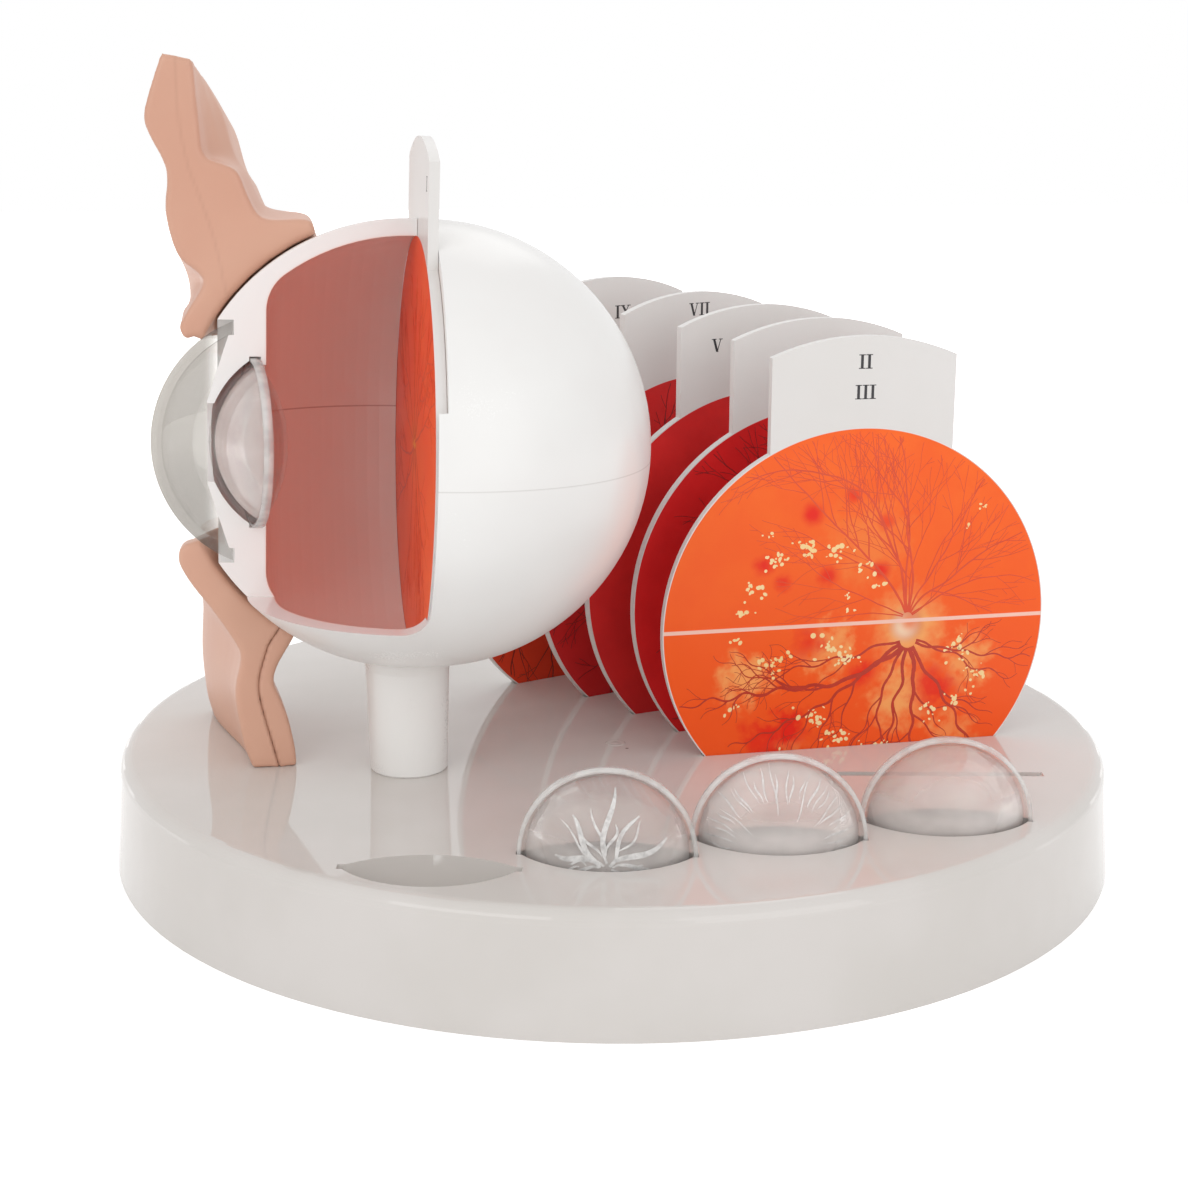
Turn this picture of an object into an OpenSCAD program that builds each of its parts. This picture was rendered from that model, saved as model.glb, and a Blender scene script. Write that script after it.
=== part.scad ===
// Eye anatomy model: a five times life size eyeball, opened on its near side, on a round
// stand that also holds five fundus cards and three loose lenses. Sizes are in millimetres.
// The eye looks toward -X, the viewer stands on the -Y side and Z is up. The origin is the
// middle of the stand's underside.

/* [Stand] */
// Radius of the stand at the table
stand_r = 145.5; // [144:0.5:150]
// How far the skirt leans in toward the top
stand_lean = 2; // [1:0.5:3]
// Height of the stand
stand_h = 32; // [31:0.5:36]
// Rounding of the stand's top edge
stand_edge = 4; // [2:0.5:5]
// Wall and deck thickness of the stand
stand_wall = 3; // [2.5:0.5:4]
// Wall left around each well under the deck
well_wall = 1.8; // [1.5:0.1:2.2]
// Thickness of the bottom plate
plate_t = 2.5; // [2:0.5:3]

/* [Eyeball] */
// Outer radius of the eyeball
eye_r = 60; // [59:0.5:61]
// Wall thickness of the eyeball
eye_wall = 4.5; // [4:0.5:5]
// How far the front half sits forward of the rear half
eye_stretch = 5.5; // [5:0.5:6]
// Height of the rear half's centre above the table
eye_z = 123.5; // [122:0.5:125]
// Place of the eyeball's centre along X
eye_x = -56.5; // [-58:0.5:-55]
// Place of the eyeball's centre along Y
eye_y = -29.6; // [-31:0.1:-28]
// How far the eye looks up, in degrees
eye_tilt = 2; // [0:0.5:3]
// Height of the window's sill below the centre
sill_drop = 42; // [40:0.5:44]
// Forward place of the cavity's front wall
cavity_front = 43.3; // [42.8:0.1:43.8]
// Rounding of the cavity's front corner
cavity_corner = 12; // [8:1:14]
// Height of the parting line on the outside, from the centre
seam_outer = -1.5; // [-3:0.5:0]
// Height of the parting line on the inside, from the centre
seam_inner = 2; // [1:0.5:3]
// Radius of the pupil
pupil_r = 10.5; // [9:0.5:11]

/* [Cornea] */
// Outer radius of the cornea's dome
cornea_r = 34.6; // [34:0.1:35]
// Thickness of the cornea
cornea_t = 2.8; // [2.5:0.1:3]
// Forward place of the cornea's rim
cornea_rim = 52; // [51.5:0.1:52.5]

/* [Lenses] */
// Radius of a lens at its rim
lens_r = 22.5; // [22:0.1:23]
// Height of the front dome above the middle plane
lens_front = 12; // [11.5:0.1:12.2]
// Depth of the back dome below the middle plane
lens_back = 8.4; // [8:0.1:8.6]
// Wall thickness of the clear lens shells, and half the rim's thickness
lens_t = 1.2; // [1:0.1:1.3]
// Forward place of the lens's middle plane in the eye
lens_u = 46.2; // [46:0.1:46.4]
// Turn of the lens in its seat, with its near side farther back
lens_turn = 8; // [7:0.5:9]

/* [Cards] */
// Radius of a card's printed disc
disc_r = 57.2; // [56.8:0.1:57.2]
// Thickness of a card
card_t = 2.7; // [2.4:0.1:2.7]
// Width of a card's tab
tab_w = 54; // [50:1:58]
// Top of the tab above the disc's centre
tab_top = 82.8; // [80:0.1:84]
// Radius of the tab's rounded top
tab_arc = 68; // [60:1:80]
// Height of the first stored card's disc centre above the deck
disc_lift = 36; // [35:0.5:37]

/* [Lids] */
// Depth of the lids, away from the viewer
lid_depth = 57.8; // [50:0.2:60]
// Gap between the upper lid and the eyeball
lid_gap = 0.9; // [0.6:0.1:1.2]
// Gap between the lower lid and the eyeball
lower_gap = 2.5; // [2:0.1:3]

/* [Hidden] */
$fn = 128;

// General clearance between pieces that slide past each other
fit = 0.3;
// Overlap used only where two shapes of one piece are joined
eps = 0.5;
big = 200;

// Stand
deck_r = stand_r - stand_lean;
plate_z = 1;
plate_gap = 1.2;
plate_r = stand_r - stand_wall - plate_gap;
post_r = 5;
post_ring = 128;
post_angles = [20, 110, 200, 290];
screw_r = 1.6;
screw_head_r = 3.2;
screw_len = 12;
screw_slot = [3.6, 0.7, 0.6];

// Stem
stem_x = -63.2;
stem_y = -28.4;
stem_r_foot = 10.7;
stem_r_neck = 11.6;
stem_collar = 1.4;
stem_collar_z = eye_z - eye_r;
stem_foot_edge = 0.5;
bolt_r = 2.5;
bolt_head_r = 5;
bolt_head_h = 3.5;
bolt_key_r = 2.6;
bolt_key_h = 2.2;
bolt_top = 57;
boss_r = 9;
boss_h = 9;

// Eyeball
eye_ri = eye_r - eye_wall;
lap_r = eye_r - 3;
card_u = 4;
window_u = 3.6;
window_corner = 7;
slot_r = disc_r + fit;
card_back_gap = 0.1;
card_front_gap = 0.1;
slot_side_gap = 0.2;
slot_back = card_u - card_t - card_back_gap;
slot_front = card_u + card_front_gap;
seat_r = 32.6;
seat_in = 28.6;
seat_flare = 2.5;
iris_u = 58.7;
iris_r = pupil_r + 0.5;
card_drop = 1.5;
cornea_u = 38.8;

// Lens curves, from the rim radius and the height of each dome
dome_r_front = lens_r - 1.3;
dome_r_back = lens_r - 1.7;
sag_front = lens_front - lens_t;
sag_back = lens_back - lens_t;
sphere_front = (dome_r_front * dome_r_front + sag_front * sag_front) / (2 * sag_front);
sphere_back = (dome_r_back * dome_r_back + sag_back * sag_back) / (2 * sag_back);
centre_front = lens_front - sphere_front;
centre_back = sphere_back - lens_back;
groove = 0.3;
seat_gap = 0.5;
dome_gap = 0.7;
back_gap = 0.1;
back_room = 6;

// Wells for loose lenses: place on the deck and turn; the first one is empty
wells = [[-65.4, -105.8, -12], [-20.7, -103.7, -12], [24.3, -100.2, -10], [70.8, -94.5, -9]];
// Stored cards: the place of each disc's centre, its turn, and its rise above the first one
stored = [[65, -29.3, 2.8, 0], [60, -0.6, 10.1, 1.8], [48.2, 22.7, 16.3, 3.4],
    [34.1, 46.6, 23, 5], [10.9, 63.8, 23.7, 8.2]];
// The empty slot in front of the fan is for the eye's own card
spare = [66, -56.3, -10.1, 0];

// Lid sections on the near face: u runs forward from the eyeball's centre and w runs up
lid_near = 6.6;
lid_rings = 10;
rings = [0:lid_rings - 1];
upper_skin_near = [[61.4, 29.4], [63.1, 28.4], [64.7, 31.6], [62.3, 36.2], [57.9, 42.9],
    [59.3, 46], [64.3, 50.6], [67, 61.6], [66.2, 72.5], [70.6, 82.2], [71.2, 88], [66.4, 102.1]];
upper_skin_mid = [[60.9, 31], [62.9, 30.2], [64.3, 33], [62, 36.4], [62.2, 42],
    [63.6, 46.6], [65.6, 52], [66.8, 61.6], [66, 72.5], [68.6, 81.4], [68.4, 87], [62.5, 97.5]];
upper_seam_near = [[52.2, 40.6], [54.6, 54], [58.4, 66.8], [60.7, 73.7], [62.6, 86], [62.8, 101.4]];
upper_seam_mid = [[49.4, 41], [51.5, 54], [54.5, 67], [57, 74], [58, 86], [58.5, 96.6]];
upper_back_near = [[28.6, 57.2], [29.2, 58.9], [31.6, 59.8], [39.4, 59.6], [43.3, 61], [46, 66.5],
    [48.4, 72.3], [52.7, 74.3], [56.8, 76.2], [57.6, 84], [58.5, 100.5]];
upper_back_mid = [[27.6, 54.8], [28.6, 58.7], [31.6, 60], [37, 60.6], [41, 62], [43.2, 66],
    [45, 70.6], [47.2, 74], [48.6, 78.4], [50.9, 87], [56, 96]];
lower_skin_near = [[63.6, -26.4], [66.6, -27.4], [67.7, -31.6], [64.6, -38], [59.4, -45.4],
    [53.8, -54.5], [52, -59.5], [54, -69], [53, -79], [51.9, -85.4]];
lower_skin_far = [[62, -39], [64.4, -39.6], [65.2, -42.4], [64.4, -46], [63.4, -50.4],
    [62.6, -55], [62.5, -59.5], [63.2, -70], [62.9, -79], [62.3, -85.4]];
lower_seam_near = [[44.4, -56], [47.1, -64.9], [47.2, -71], [45.4, -79.6]];
lower_seam_far = [[50, -56], [54, -64.9], [56, -71], [55, -79.6]];
lower_back_near = [[38.9, -56.8], [41.9, -61.9], [43.3, -66.9], [41.2, -72.6], [39.4, -78.6],
    [38, -86]];
lower_back_far = [[41, -56.8], [45, -61.9], [47.5, -66.9], [48, -72.6], [47.4, -78.6],
    [46, -86]];
lower_foot_near = [49.8, 42.5, 37.6];
lower_foot_far = [60.8, 52.5, 45];
foot_w = stand_h - eye_z;
// The hollow of the lids never narrows below this radius, so their far ends stay open
hollow_min = 37;
far_shrink = 0.93;

// ---------- helpers ----------
function lerp(a, b, t) = a + (b - a) * t;
function ease(t) = t * t * (3 - 2 * t);
function arc(cx, cy, r, a0, a1, n) =
    [for (k = [0:n]) let (a = lerp(a0, a1, k / n)) [cx + r * cos(a), cy + r * sin(a)]];
function mix(p, q, t) = [for (i = [0:len(p) - 1]) lerp(p[i], q[i], t)];
function curve_point(a, b, c, d, t) =
    0.5 * (2 * b + (c - a) * t + (2 * a - 5 * b + 4 * c - d) * t * t
    + (3 * b - a - 3 * c + d) * t * t * t);
// Smooth curve through the points of p
function smooth(p, steps) = concat(
    [for (i = [0:len(p) - 2]) for (k = [0:steps - 1])
        curve_point(p[max(i - 1, 0)], p[i], p[i + 1], p[min(i + 2, len(p) - 1)], k / steps)],
    [p[len(p) - 1]]);
function reversed(p) = [for (i = [len(p) - 1:-1:0]) p[i]];
// Moves a section in toward the eyeball's front centre
function shrink(p, s) = [for (q = p) [eye_stretch + (q[0] - eye_stretch) * s, q[1] * s]];

// Eyeball frame: Z runs forward along the eye's line of sight, Y is away from the viewer
module in_eye() {
    translate([eye_x, eye_y, eye_z]) rotate([0, eye_tilt, 0]) rotate([0, -90, 0]) children();
}

// ---------- stand ----------
// One lens as a solid, grown by g on every side; its axis is Z and the front dome points up
module lens_blank(g) {
    intersection() {
        translate([0, 0, centre_front]) sphere(r = sphere_front + g);
        translate([0, 0, centre_back]) sphere(r = sphere_back + g);
    }
    translate([0, 0, -lens_t - g]) cylinder(r = lens_r + g, h = 2 * (lens_t + g));
}

// A stored lens stands on its edge in the deck with its front dome toward the viewer
module in_well(i) {
    translate([wells[i][0], wells[i][1], stand_h]) rotate([0, 0, wells[i][2]])
        rotate([90, 0, 0]) children();
}

// A card frame: X across the card, Y up the card, Z out of its printed face
module at_card(p) {
    translate([p[0], p[1], stand_h + disc_lift + p[3]]) rotate([0, 0, p[2]]) rotate([90, 0, 0])
        children();
}

module at_slots() {
    for (p = concat(stored, [spare])) at_card(p) children();
}

module card_space(g) {
    translate([0, 0, -card_t / 2 - g]) cylinder(r = disc_r + g, h = card_t + 2 * g);
}

module below_deck() {
    translate([-big, -big, 0]) cube([2 * big, 2 * big, stand_h - stand_wall / 2]);
}

module base_shell() {
    color("whitesmoke") difference() {
        union() {
            rotate_extrude($fn = 256) polygon(concat(
                [[0, stand_h]],
                arc(deck_r - stand_edge, stand_h - stand_edge, stand_edge, 90, 2, 8),
                [[stand_r, 0], [stand_r - stand_wall, 0],
                 [deck_r - stand_wall, stand_h - stand_wall], [0, stand_h - stand_wall]]));
            intersection() {
                union() {
                    for (i = [0:3]) in_well(i) lens_blank(fit + well_wall);
                    at_slots() card_space(fit + well_wall);
                }
                below_deck();
            }
            for (a = post_angles) rotate([0, 0, a]) translate([post_ring, 0, plate_z + plate_t])
                cylinder(r = post_r, h = stand_h - plate_z - plate_t - stand_wall / 2);
            translate([stem_x, stem_y, stand_h - stand_wall - boss_h])
                cylinder(r = boss_r, h = boss_h + stand_wall / 2);
        }
        for (i = [0:3]) in_well(i) lens_blank(fit);
        at_slots() card_space(fit);
        for (a = post_angles) rotate([0, 0, a]) translate([post_ring, 0, 0])
            cylinder(r = screw_r, h = plate_z + screw_len);
        translate([stem_x, stem_y, 0]) cylinder(r = bolt_r, h = stand_h + eps);
    }
}

module base_plate() {
    color("gainsboro") difference() {
        translate([0, 0, plate_z]) cylinder(r = plate_r, h = plate_t, $fn = 256);
        for (a = post_angles) rotate([0, 0, a]) translate([post_ring, 0, plate_z]) {
            cylinder(r1 = screw_head_r, r2 = screw_r, h = screw_head_r - screw_r);
            cylinder(r = screw_r, h = big);
        }
    }
}

module base_screws() {
    color("silver") for (a = post_angles) rotate([0, 0, a])
        translate([post_ring, 0, plate_z]) difference() {
            union() {
                cylinder(r1 = screw_head_r, r2 = screw_r, h = screw_head_r - screw_r);
                cylinder(r = screw_r, h = screw_len);
            }
            for (t = [0, 90]) rotate([0, 0, t])
                translate([-screw_slot[0] / 2, -screw_slot[1] / 2, -eps])
                    cube([screw_slot[0], screw_slot[1], screw_slot[2] + eps]);
        }
}

// ---------- stem ----------
module stem() {
    color("white") difference() {
        translate([stem_x, stem_y, 0]) rotate_extrude() polygon([[bolt_r, stand_h],
            [stem_r_foot - stem_foot_edge, stand_h], [stem_r_foot, stand_h + stem_foot_edge],
            [stem_r_neck, stem_collar_z - 2], [stem_r_neck + stem_collar * 0.3, stem_collar_z + 0.5],
            [stem_r_neck + stem_collar, stem_collar_z + 3.5],
            [stem_r_neck + stem_collar, stem_collar_z + 8], [0, stem_collar_z + 8],
            [0, bolt_top], [bolt_r, bolt_top]]);
        in_eye() eye_ball(eye_r);
    }
}

module stem_bolt() {
    head_z = stand_h - stand_wall - boss_h - bolt_head_h;
    color("silver") translate([stem_x, stem_y, 0]) difference() {
        union() {
            translate([0, 0, head_z]) cylinder(r = bolt_head_r, h = bolt_head_h);
            translate([0, 0, head_z + eps]) cylinder(r = bolt_r, h = bolt_top - head_z - eps);
        }
        translate([0, 0, head_z - eps]) cylinder(r = bolt_key_r, h = bolt_key_h + eps, $fn = 6);
    }
}

// ---------- eyeball ----------
// Both halves as full balls of radius r, the front one a little forward
module eye_ball(r) {
    sphere(r = r);
    translate([0, 0, eye_stretch]) sphere(r = r);
}

// Hollow of the eyeball, with a flat front wall behind the iris
module eye_cavity() {
    ring_u = cavity_front - cavity_corner;
    reach = eye_ri - cavity_corner;
    ring_r = sqrt(reach * reach - (ring_u - eye_stretch) * (ring_u - eye_stretch));
    turn = atan2(ring_u - eye_stretch, ring_r);
    rotate_extrude() polygon(concat(
        arc(0, 0, eye_ri, -90, 0, 24),
        arc(0, eye_stretch, eye_ri, 0, turn, 10),
        arc(ring_r, ring_u, cavity_corner, turn, 90, 8),
        [[0, cavity_front]]));
}

// Room in front of the iris, down to the seat of the cornea's rim
module front_recess() {
    difference() {
        translate([0, 0, cornea_rim - fit]) cylinder(r = seat_r, h = big / 4);
        intersection() {
            translate([0, 0, cornea_rim - 1]) cylinder(
                r1 = seat_r + seat_flare, r2 = iris_r, h = iris_u - cornea_rim + 1);
            translate([0, 0, cornea_rim - 2]) cylinder(r = seat_in, h = big / 4);
        }
    }
}

// Place of the lens in the eye, from its own axes
module in_seat() {
    translate([0, 0, lens_u]) rotate([lens_turn, 0, 0]) children();
}

// Seat of the lens, open toward the viewer and through to the pupil and the cavity
module lens_seat() {
    in_seat() {
        translate([0, 0, -lens_t - groove])
            cylinder(r = lens_r + seat_gap, h = 2 * (lens_t + groove));
        intersection() {
            translate([0, 0, centre_front]) sphere(r = sphere_front + dome_gap);
            cylinder(r = lens_r + seat_gap, h = big / 4);
        }
        translate([0, 0, -back_room]) cylinder(r = dome_r_back + back_gap, h = back_room);
    }
    translate([0, 0, lens_u]) cylinder(r = pupil_r, h = big / 4);
}

// Groove for the eye's card, and the way up and out through the top of the ball
module card_slot() {
    translate([-card_drop, 0, slot_back]) cylinder(r = slot_r, h = slot_front - slot_back);
    translate([0, -disc_r - slot_side_gap, slot_back])
        cube([big, 2 * (disc_r + slot_side_gap), slot_front - slot_back]);
}

// The near part of the front half is left out above a level sill
module window() {
    difference() {
        translate([-sill_drop, -big, window_u]) cube([big, big, big]);
        difference() {
            translate([-sill_drop - eps, -big - eps, window_u - eps])
                cube([window_corner + eps, big + 2 * eps, window_corner + eps]);
            translate([-sill_drop + window_corner, -big - 2 * eps, window_u + window_corner])
                rotate([-90, 0, 0]) cylinder(r = window_corner, h = big + 4 * eps);
        }
    }
}

module eye_whole() {
    difference() {
        eye_ball(eye_r);
        eye_cavity();
        front_recess();
        lens_seat();
        card_slot();
        window();
    }
}

// What belongs to the lower half: its inner lip stands up inside the upper half
module lower_region() {
    translate([-big, -big, -big]) cube([big + seam_outer, 2 * big, 2 * big]);
    intersection() {
        translate([-big, -big, -big]) cube([big + seam_inner, 2 * big, 2 * big]);
        eye_ball(lap_r);
    }
}

module eye_shell_lower() {
    color("white") in_eye() intersection() {
        eye_whole();
        lower_region();
    }
}

module eye_shell_upper() {
    color("white") in_eye() difference() {
        eye_whole();
        lower_region();
    }
}

// ---------- cornea ----------
// Clear half dome on the far side of the cut
module cornea() {
    color("lightcyan", 0.4) in_eye() intersection() {
        difference() {
            translate([0, 0, cornea_u]) sphere(r = cornea_r);
            translate([0, 0, cornea_u]) sphere(r = cornea_r - cornea_t);
        }
        translate([-big / 2, 0, cornea_rim]) cube([big, big, big]);
    }
}

// ---------- lenses ----------
module lens_front_shell() {
    difference() {
        union() {
            intersection() {
                translate([0, 0, centre_front]) sphere(r = sphere_front);
                cylinder(r = lens_r, h = lens_front + 1);
            }
            cylinder(r = lens_r, h = lens_t);
        }
        translate([0, 0, centre_front]) sphere(r = sphere_front - lens_t);
    }
}

module lens_back_shell() {
    difference() {
        union() {
            intersection() {
                translate([0, 0, centre_back]) sphere(r = sphere_back);
                translate([0, 0, -lens_back - 1]) cylinder(r = lens_r, h = lens_back + 1);
            }
            translate([0, 0, -lens_t]) cylinder(r = lens_r, h = lens_t);
        }
        translate([0, 0, centre_back]) sphere(r = sphere_back - lens_t);
    }
}

module eye_lens_front() {
    color("lightcyan", 0.4) in_eye() in_seat() lens_front_shell();
}
module eye_lens_back() {
    color("lightcyan", 0.4) in_eye() in_seat() lens_back_shell();
}
module stored_front(i) { color("lightcyan", 0.4) in_well(i) lens_front_shell(); }
module stored_back(i) { color("lightcyan", 0.4) in_well(i) lens_back_shell(); }

// ---------- cards ----------
module card_outline() {
    circle(r = disc_r);
    intersection() {
        translate([-tab_w / 2, 0]) square([tab_w, tab_top + 1]);
        translate([0, tab_top - tab_arc]) circle(r = tab_arc);
    }
}

module card() {
    translate([0, 0, -card_t / 2]) linear_extrude(card_t) card_outline();
}

module stored_card(i) {
    color("orangered") at_card(stored[i]) card();
}

module eye_card() {
    color("orangered") in_eye() translate([-card_drop, 0, card_u - card_t / 2])
        rotate([0, 0, -90]) card();
}

// ---------- lids ----------
// Radius of the lids' hollow at depth v behind the eyeball's middle plane
function hollow(v, gap) =
    max(sqrt(max((eye_r + gap) * (eye_r + gap) - v * v, 0)), hollow_min);
function ring_depth(k) = lid_near + lid_depth * k / (lid_rings - 1);
// Direction of a section point as seen from the front ball's centre
function direction(p) = atan2(p[1], p[0] - eye_stretch);
// n points on the hollow, below one section point and on to below another
function hollow_arc(p, q, v, gap, n) =
    let (r = hollow(v, gap))
    arc(eye_stretch, 0, r, direction(p), direction(q), n - 1);

// Solid between a front curve and a back curve, which both run upward with as many points;
// each ring lies at its own depth, and every cap and side is a strip between the two curves
module loft(fronts, backs) {
    n = len(fronts[0]);
    m = len(fronts);
    last = n - 1;
    function f(k, i) = 2 * n * k + i;
    function b(k, i) = 2 * n * k + n + i;
    function quad(p, q, r, t) = [[p, q, r], [p, r, t]];
    points = [for (k = [0:m - 1]) for (p = concat(fronts[k], backs[k]))
        [eye_x - p[0], eye_y + ring_depth(k), eye_z + p[1]]];
    sides = [for (k = [0:m - 2]) for (i = [0:last - 1]) each concat(
        quad(f(k, i), f(k + 1, i), f(k + 1, i + 1), f(k, i + 1)),
        quad(b(k, i), b(k, i + 1), b(k + 1, i + 1), b(k + 1, i)))];
    edges = [for (k = [0:m - 2]) each concat(
        quad(f(k + 1, 0), f(k, 0), b(k, 0), b(k + 1, 0)),
        quad(f(k, last), f(k + 1, last), b(k + 1, last), b(k, last)))];
    caps = [for (i = [0:last - 1]) each concat(
        quad(f(0, i), f(0, i + 1), b(0, i + 1), b(0, i)),
        quad(f(m - 1, i), b(m - 1, i), b(m - 1, i + 1), f(m - 1, i + 1)))];
    polyhedron(points = points, faces = concat(sides, edges, caps), convexity = 6);
}

// The upper lid's sections change from the near outline to the middle one, then draw in
function upper_shape(near, mid, t) =
    t < 0.4 ? mix(near, mid, ease(t / 0.4)) : shrink(mid, lerp(1, far_shrink, ease((t - 0.4) / 0.6)));
function upper_curve(near, mid, k, steps) =
    smooth(upper_shape(near, mid, k / (lid_rings - 1)), steps);
function upper_skin(k) = upper_curve(upper_skin_near, upper_skin_mid, k, 3);
function upper_seam(k) = upper_curve(upper_seam_near, upper_seam_mid, k, 5);
function upper_back(k) = upper_curve(upper_back_near, upper_back_mid, k, 3);
// The seam, with the hollow below it from the section point p to the seam's foot
function upper_inside(p, k, n) = let (seam = upper_seam(k))
    concat(hollow_arc(p, seam[0], ring_depth(k), lid_gap, n), seam);

// The lower lid's curves run down to the deck; the foot of each ends on it
function lower_curve(near, far, k, steps, foot) =
    let (t = ease(k / (lid_rings - 1)))
    concat(smooth(mix(near, far, t), steps),
        [[lerp(lower_foot_near[foot], lower_foot_far[foot], t), foot_w]]);
function lower_skin(k) = lower_curve(lower_skin_near, lower_skin_far, k, 3, 0);
function lower_seam(k) = lower_curve(lower_seam_near, lower_seam_far, k, 6, 1);
function lower_back(k) = lower_curve(lower_back_near, lower_back_far, k, 5, 2);
function lower_inside(p, k, n) = let (seam = lower_seam(k))
    concat(hollow_arc(p, seam[0], ring_depth(k), lower_gap, n), seam);

module upper_lid_front() {
    color("burlywood") loft(
        [for (k = rings) upper_skin(k)],
        [for (k = rings) let (skin = upper_skin(k))
            upper_inside(skin[0], k, len(skin) - len(upper_seam(k)))]);
}

module upper_lid_back() {
    color("burlywood") loft(
        [for (k = rings) let (back = upper_back(k))
            upper_inside(back[0], k, len(back) - len(upper_seam(k)))],
        [for (k = rings) upper_back(k)]);
}

module lower_lid_front() {
    color("burlywood") loft(
        [for (k = rings) reversed(lower_skin(k))],
        [for (k = rings) let (skin = lower_skin(k))
            reversed(lower_inside(skin[0], k, len(skin) - len(lower_seam(k))))]);
}

module lower_lid_back() {
    color("burlywood") loft(
        [for (k = rings) let (back = lower_back(k))
            reversed(lower_inside(back[0], k, len(back) - len(lower_seam(k))))],
        [for (k = rings) reversed(lower_back(k))]);
}

base_shell();
base_plate();
base_screws();
stem();
stem_bolt();
eye_shell_lower();
eye_shell_upper();
upper_lid_front();
upper_lid_back();
lower_lid_front();
lower_lid_back();
cornea();
eye_lens_front();
eye_lens_back();
stored_front(1);  // lens_1_front
stored_back(1);  // lens_1_back
stored_front(2);  // lens_2_front
stored_back(2);  // lens_2_back
stored_front(3);  // lens_3_front
stored_back(3);  // lens_3_back
eye_card();
stored_card(0);  // card_1
stored_card(1);  // card_2
stored_card(2);  // card_3
stored_card(3);  // card_4
stored_card(4);  // card_5
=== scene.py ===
# %% [markdown]
# Eye anatomy model: the scene
# A classroom model of the eye stands on a round plastic stand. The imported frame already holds
# every rigid piece at its real size. This script adds what a frame cannot hold: the finish of
# each surface, the printed retina cards, the milky streaks in the lenses and the softly
# moulded eyelids.

# %% Load the frame
import math
import random
from contextlib import contextmanager

import bmesh
import bpy
import numpy as np
from mathutils import Euler, Matrix, Vector
from mathutils.bvhtree import BVHTree


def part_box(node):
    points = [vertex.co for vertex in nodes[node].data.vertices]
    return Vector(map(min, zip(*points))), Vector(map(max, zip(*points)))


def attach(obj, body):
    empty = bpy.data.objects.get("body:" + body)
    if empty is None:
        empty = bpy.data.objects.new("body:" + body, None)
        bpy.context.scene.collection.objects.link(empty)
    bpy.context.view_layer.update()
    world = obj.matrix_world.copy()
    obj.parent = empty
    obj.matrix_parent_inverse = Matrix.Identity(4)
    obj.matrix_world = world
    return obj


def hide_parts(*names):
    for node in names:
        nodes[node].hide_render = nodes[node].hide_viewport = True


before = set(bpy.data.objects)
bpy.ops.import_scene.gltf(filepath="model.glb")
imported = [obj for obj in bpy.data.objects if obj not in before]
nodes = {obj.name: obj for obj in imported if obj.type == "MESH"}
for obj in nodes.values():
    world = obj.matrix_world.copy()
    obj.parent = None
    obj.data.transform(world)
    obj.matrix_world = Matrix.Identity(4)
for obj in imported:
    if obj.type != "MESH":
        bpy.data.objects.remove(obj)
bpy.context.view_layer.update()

MM = 0.001

# %% [markdown]
# Camera
# The photograph was taken from the front left, a little above the eye, with a long lens. Those
# three things fix its perspective. The camera's place and line of sight are given in the
# model's own frame, so every later picture can be laid over the photograph.

# %% Camera
CAMERA_PLACE = Vector((-0.11054, -0.57944, 0.21952))
CAMERA_LOOK = Vector((0.17291, 0.95472, -0.24211))
CAMERA_ROLL = math.radians(0.25)
CAMERA_LENS = 62.62
SENSOR_WIDTH = 36

camera_data = bpy.data.cameras.new("camera")
camera_data.lens = CAMERA_LENS
camera_data.sensor_width = SENSOR_WIDTH
camera_data.clip_start = 0.01
camera = bpy.data.objects.new("camera", camera_data)
camera.location = CAMERA_PLACE
turn = CAMERA_LOOK.to_track_quat("-Z", "Y")
camera.rotation_mode = "QUATERNION"
camera.rotation_quaternion = turn @ Matrix.Rotation(CAMERA_ROLL, 4, "Z").to_quaternion()
bpy.context.collection.objects.link(camera)
bpy.context.scene.camera = camera
print("camera lens:", CAMERA_LENS, "mm")

# %% [markdown]
# Shader helpers
# Every finish below is built from the same few moves: add a node, feed its sockets, map one
# value to another and blend two colours. Short helpers keep each material readable. A few more
# make node groups and say where on a piece a point lies.

# %% Shader helpers
def feed(tree, socket, value):
    """Join another node's output to a socket, or store a plain value in it."""
    if isinstance(value, bpy.types.NodeSocket):
        tree.links.new(value, socket)
    else:
        socket.default_value = value


def add(tree, kind, *values, **settings):
    """Add one node, set its properties and feed its first inputs in order."""
    node = tree.nodes.new(kind)
    for key, value in settings.items():
        setattr(node, key, value)
    for socket, value in zip(node.inputs, values):
        feed(tree, socket, value)
    return node


def fill(tree, node, **values):
    """Feed a node's inputs by name, with _ for a blank; returns the node."""
    for label, value in values.items():
        feed(tree, node.inputs[label.replace("_", " ")], value)
    return node


def calc(tree, operation, *values):
    """One step of arithmetic between sockets and numbers."""
    return add(tree, "ShaderNodeMath", *values, operation=operation).outputs[0]


def apart(tree, value, other):
    """How far two values lie apart."""
    return calc(tree, "ABSOLUTE", calc(tree, "SUBTRACT", value, other))


def measure(tree, operation, *values):
    """The LENGTH of a vector, or the DISTANCE between two places."""
    return add(tree, "ShaderNodeVectorMath", *values, operation=operation).outputs["Value"]


def split(tree, place):
    """X, Y and Z of a place, by name."""
    return add(tree, "ShaderNodeSeparateXYZ", place).outputs


def joined(tree, *values):
    """A vector from X, Y and Z; one that isn't given is 0."""
    return add(tree, "ShaderNodeCombineXYZ", *values).outputs[0]


def spread(tree, value, low, high, start=0.0, end=1.0):
    """Map low..high softly onto start..end and hold the ends."""
    return add(tree, "ShaderNodeMapRange", value, low, high, start, end,
               interpolation_type="SMOOTHSTEP").outputs[0]


def tint(tree, factor, first, second):
    """Blend from the first colour to the second."""
    node = add(tree, "ShaderNodeMix", data_type="RGBA")
    for index, value in ((0, factor), (6, first), (7, second)):
        feed(tree, node.inputs[index], value)
    return node.outputs[2]


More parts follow.
